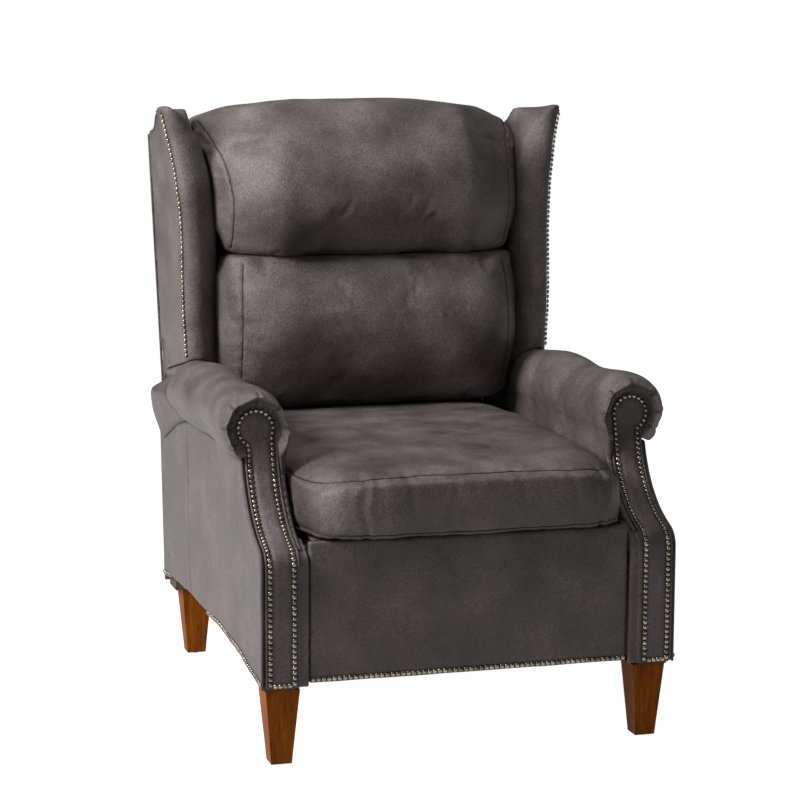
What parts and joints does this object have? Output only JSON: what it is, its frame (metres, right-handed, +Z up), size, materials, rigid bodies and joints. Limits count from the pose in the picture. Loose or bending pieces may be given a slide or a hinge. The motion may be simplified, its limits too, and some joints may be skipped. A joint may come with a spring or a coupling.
{
  "type": "reclining wing chair",
  "caption": "High-leg wing recliner: nailed arm fronts, rolled arms, loose seat and back cushions, a push-back seat and a footrest that folds out on a linkage.",
  "frame": {"origin": "on the floor under the middle of the chair's outline", "axes": "+X to the right of someone who faces the chair, the chair's front looks along -Y, +Z up"},
  "size_m": [0.8496, 1.0242, 1.1484],
  "materials": {
    "leather": "soft pebbled sheen",
    "leg_wood": "brown satin lacquer",
    "frame_wood": "bare hardwood",
    "mechanism_steel": "black satin",
    "bright_steel": "zinc plated",
    "spring_steel": "dark",
    "webbing": "woven elastic",
    "felt": "pressed felt",
    "glide_plastic": "matte"
  },
  "bodies": {
    "base": {"arm_boards": "frame_wood", "arm_facing_left": "leather", "arm_facing_right": "leather", "arm_roll_left": "leather", "arm_roll_right": "leather", "base_pivot_pins": "bright_steel", "base_plate_screws": "bright_steel", "base_plates": "mechanism_steel", "front_cross_rail": "frame_wood", "front_posts": "frame_wood", "inside_arm_left": "leather", "inside_arm_right": "leather", "leg_blocks": "frame_wood", "leg_bolts": "bright_steel", "leg_front_left": "leg_wood", "leg_front_right": "leg_wood", "leg_glides": "glide_plastic", "leg_rear_left": "leg_wood", "leg_rear_right": "leg_wood", "lower_back_panel": "leather", "mechanism_cleats": "frame_wood", "outside_arm_left": "leather", "outside_arm_right": "leather", "rear_cross_rail": "frame_wood", "rear_posts": "frame_wood", "side_panel_left": "frame_wood", "side_panel_right": "frame_wood"},
    "seat_front_link": {"seat_front_links": "mechanism_steel"},
    "seat_rear_link": {"seat_rear_links": "mechanism_steel"},
    "seat": {"seat_plate_left": "mechanism_steel", "seat_plate_right": "mechanism_steel", "seat_frame": "frame_wood", "seat_springs": "spring_steel", "seat_deck": "felt", "seat_cushion": "leather", "seat_plate_pins": "bright_steel", "back_pivot_pins": "bright_steel"},
    "back": {"back_frame": "frame_wood", "outside_back": "leather", "inside_back": "leather", "back_webbing": "webbing", "lower_back_cushion": "leather", "head_pillow": "leather", "wing_left": "leather", "wing_right": "leather", "back_brackets": "mechanism_steel"},
    "footrest_lever": {"footrest_levers": "mechanism_steel", "footrest_torque_tube": "mechanism_steel", "lever_pins": "bright_steel"},
    "footrest_rear_link": {"footrest_rear_links": "mechanism_steel"},
    "footrest_cross_link": {"footrest_cross_links": "mechanism_steel", "cross_link_pins": "bright_steel"},
    "footrest_lower_link": {"footrest_lower_links": "mechanism_steel", "lower_link_pins": "bright_steel"},
    "footrest": {"footrest_brackets": "mechanism_steel", "footrest_board": "frame_wood", "footrest_panel": "leather"}
  },
  "joints": [
    {"name": "seat_rear_swing", "type": "hinge", "parent": "base", "child": "seat_rear_link", "pos_m": [0, 0.095, 0.236], "axis": [1, 0, 0], "range_deg": [0, 17.5]},
    {"name": "seat_front_swing", "type": "hinge", "parent": "base", "child": "seat_front_link", "pos_m": [0, -0.115, 0.236], "axis": [1, 0, 0], "range_deg": [0, 17.5]},
    {"name": "seat_carry", "type": "hinge", "parent": "seat_rear_link", "child": "seat", "pos_m": [0, 0.1198, 0.36361], "axis": [-1, 0, 0], "range_deg": [0, 17.5]},
    {"name": "back_recline", "type": "hinge", "parent": "seat", "child": "back", "pos_m": [0, 0.365, 0.345], "axis": [-1, 0, 0], "range_deg": [0, 32]},
    {"name": "footrest_open", "type": "hinge", "parent": "seat", "child": "footrest_lever", "pos_m": [0, -0.39, 0.368], "axis": [-1, 0, 0], "range_deg": [0, 90]},
    {"name": "footrest_rear_swing", "type": "hinge", "parent": "seat", "child": "footrest_rear_link", "pos_m": [0, -0.34, 0.38], "axis": [-1, 0, 0], "range_deg": [0, 90]},
    {"name": "footrest_cross_pivot", "type": "hinge", "parent": "footrest_lever", "child": "footrest_cross_link", "pos_m": [0, -0.277, 0.235], "axis": [1, 0, 0], "range_deg": [0, 90]},
    {"name": "footrest_lower_pivot", "type": "hinge", "parent": "footrest_lever", "child": "footrest_lower_link", "pos_m": [0, -0.281, 0.187], "axis": [1, 0, 0], "range_deg": [0, 90]},
    {"name": "footrest_tilt", "type": "hinge", "parent": "footrest_cross_link", "child": "footrest", "pos_m": [0, -0.42, 0.379], "axis": [-1, 0, 0], "range_deg": [0, 90]}
  ],
  "couplings": [
    {"joint": "seat_rear_swing", "follows": "back_recline", "ratio": 0.54688},
    {"joint": "seat_front_swing", "follows": "back_recline", "ratio": 0.54688},
    {"joint": "seat_carry", "follows": "back_recline", "ratio": 0.54688},
    {"joint": "footrest_rear_swing", "follows": "footrest_open", "ratio": 1},
    {"joint": "footrest_cross_pivot", "follows": "footrest_open", "ratio": 1},
    {"joint": "footrest_lower_pivot", "follows": "footrest_open", "ratio": 1},
    {"joint": "footrest_tilt", "follows": "footrest_open", "ratio": 1}
  ]
}
